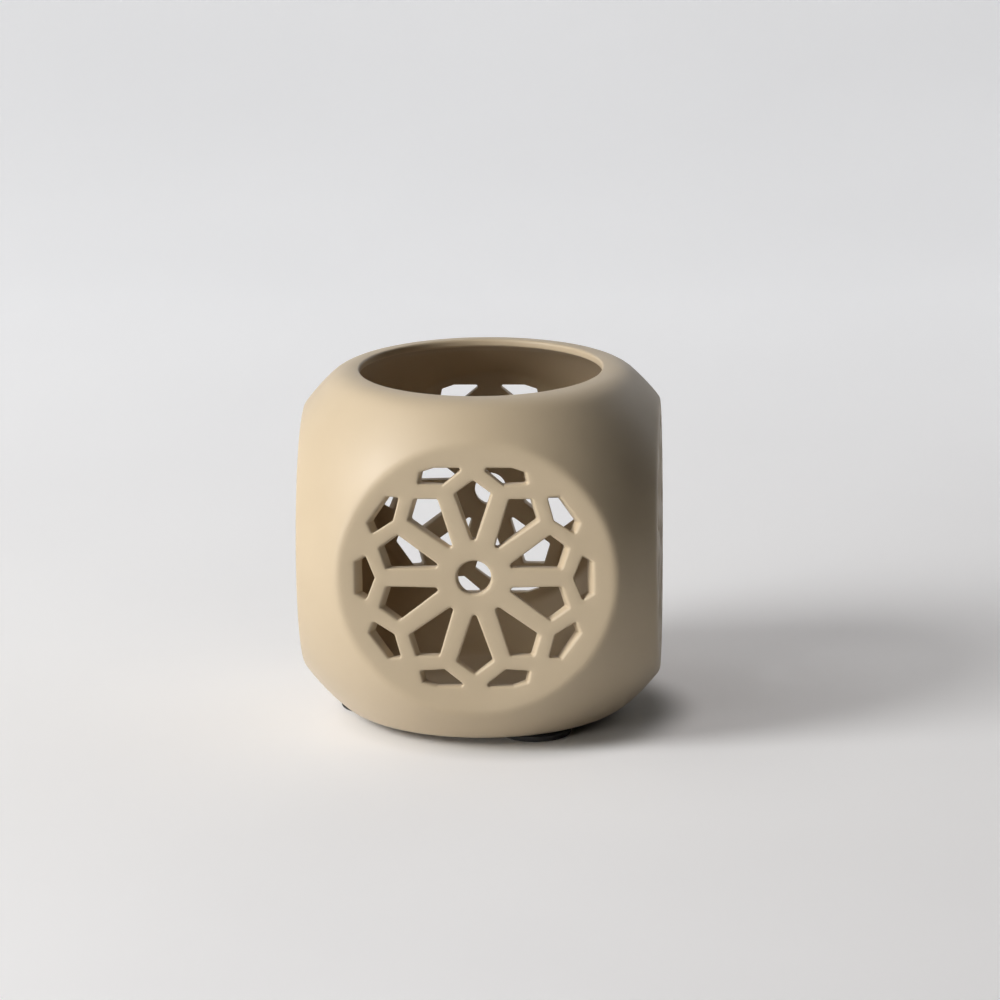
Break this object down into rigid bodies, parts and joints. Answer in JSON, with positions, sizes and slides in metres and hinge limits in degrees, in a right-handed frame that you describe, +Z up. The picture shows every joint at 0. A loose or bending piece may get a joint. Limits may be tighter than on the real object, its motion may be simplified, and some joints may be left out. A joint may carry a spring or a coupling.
{
  "type": "tealight holder",
  "caption": "Hollow ceramic block with a rounded cube shape, round open mouth and pierced rosette sides, for holding a tealight or votive candle.",
  "frame": {"origin": "centre of the footprint, at the underside of the three feet, where the holder rests", "axes": "+Z up, out of the round mouth; -Y the front, square to one pierced side; +X to the right, square to the next pierced side. All four sides are alike."},
  "size_m": [0.1, 0.1, 0.0985],
  "materials": {
    "ceramic": "matte sand-coloured glaze",
    "foot_rubber": "matte black rubber"
  },
  "bodies": {
    "root": {"ceramic_body": "ceramic", "foot_left": "foot_rubber", "foot_front_right": "foot_rubber", "foot_back_right": "foot_rubber"}
  },
  "joints": []
}
